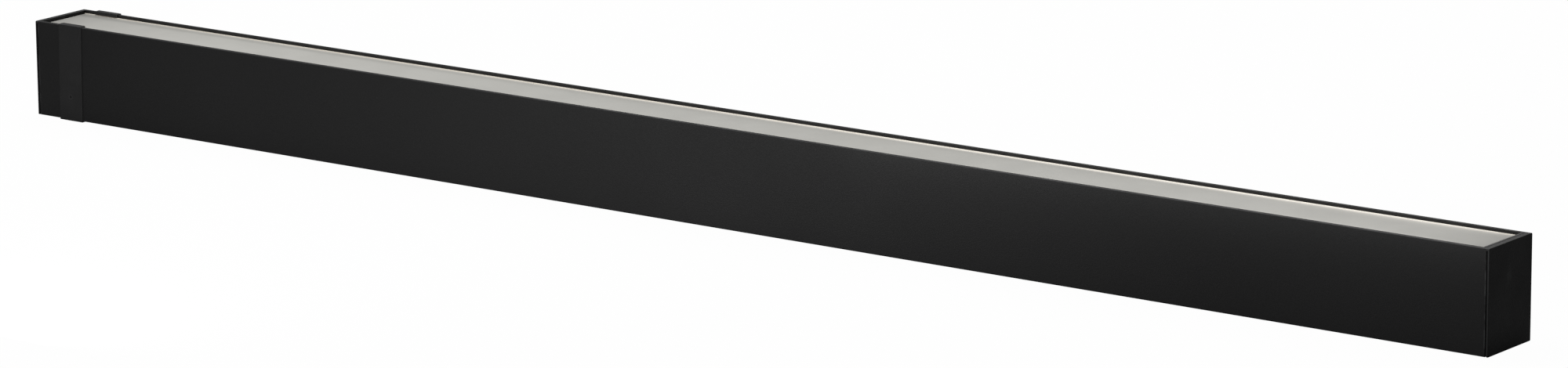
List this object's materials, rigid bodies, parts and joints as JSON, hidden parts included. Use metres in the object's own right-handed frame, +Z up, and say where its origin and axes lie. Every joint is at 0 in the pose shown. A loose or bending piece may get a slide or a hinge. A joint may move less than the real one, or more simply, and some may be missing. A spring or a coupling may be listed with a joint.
{
  "type": "vanity light bar",
  "caption": "Slim black wall light bar with an upward opal diffuser, plain end plates and a sheet clip that slides along it.",
  "frame": {"origin": "centre of the bar's footprint, on the plane that it rests on (the slide clip's underside)", "axes": "+X along the bar to the end away from the clip, +Y from the front face to the wall, +Z up, the way the diffuser faces"},
  "size_m": [1, 0.0442, 0.0582],
  "materials": {
    "housing_coat": "fine matte black powder coat on an aluminium extrusion",
    "end_coat": "fine matte black powder coat on the end plates",
    "clip_coat": "smooth satin black coat on spring steel sheet",
    "bracket_coat": "grey-black coat on bent steel sheet",
    "gasket_rubber": "black rubber",
    "grommet_rubber": "black rubber",
    "opal_acrylic": "opal acrylic, satin face",
    "hanger_steel": "zinc-plated steel",
    "screw_steel": "zinc-plated steel",
    "terminal_brass": "plain brass",
    "button_orange": "orange polyamide",
    "tray_aluminium": "mill-finish aluminium",
    "board_white": "white solder mask",
    "led_phosphor": "yellow phosphor in a white package",
    "connector_white": "white nylon",
    "driver_plastic": "white polycarbonate",
    "circuit_laminate": "green glass-epoxy laminate",
    "transformer_tape": "yellow winding tape on dark ferrite",
    "capacitor_sleeve": "dark shrink sleeve",
    "choke_copper": "enamelled copper wire",
    "terminal_plastic": "white polyamide",
    "lead_brown": "brown insulation",
    "lead_red": "red insulation",
    "lead_green": "green and yellow insulation"
  },
  "bodies": {
    "bar": {"housing": "housing_coat", "end_plate_left": "end_coat", "end_plate_right": "end_coat", "end_gasket_left": "gasket_rubber", "end_gasket_right": "gasket_rubber", "cable_grommet": "grommet_rubber", "tray_grommet": "grommet_rubber", "diffuser": "opal_acrylic", "end_bracket_left": "bracket_coat", "end_bracket_right": "bracket_coat", "wall_bracket_left": "hanger_steel", "wall_bracket_right": "hanger_steel", "end_screws": "screw_steel", "foot_screws": "screw_steel", "board_screws": "screw_steel", "driver_screws": "screw_steel", "terminal_fixings": "screw_steel", "clamp_screws": "screw_steel", "lock_screws": "screw_steel", "earth_screw": "terminal_brass", "terminal_buttons": "button_orange", "led_tray": "tray_aluminium", "led_board_left": "board_white", "led_board_right": "board_white", "led_packages_left": "led_phosphor", "led_packages_right": "led_phosphor", "board_link": "connector_white", "board_plug": "connector_white", "driver_case": "driver_plastic", "driver_lid": "driver_plastic", "driver_board": "circuit_laminate", "transformer": "transformer_tape", "capacitors": "capacitor_sleeve", "choke": "choke_copper", "terminal_block": "terminal_plastic", "cord_clamp": "terminal_plastic", "mains_leads": "lead_brown", "output_leads": "lead_red", "earth_lead": "lead_green"},
    "clip": {"slide_clip": "clip_coat"}
  },
  "joints": [
    {"name": "clip_slide", "type": "slide", "parent": "bar", "child": "clip", "axis": [1, 0, 0], "range_m": [-0.0087, 0.1295]}
  ]
}
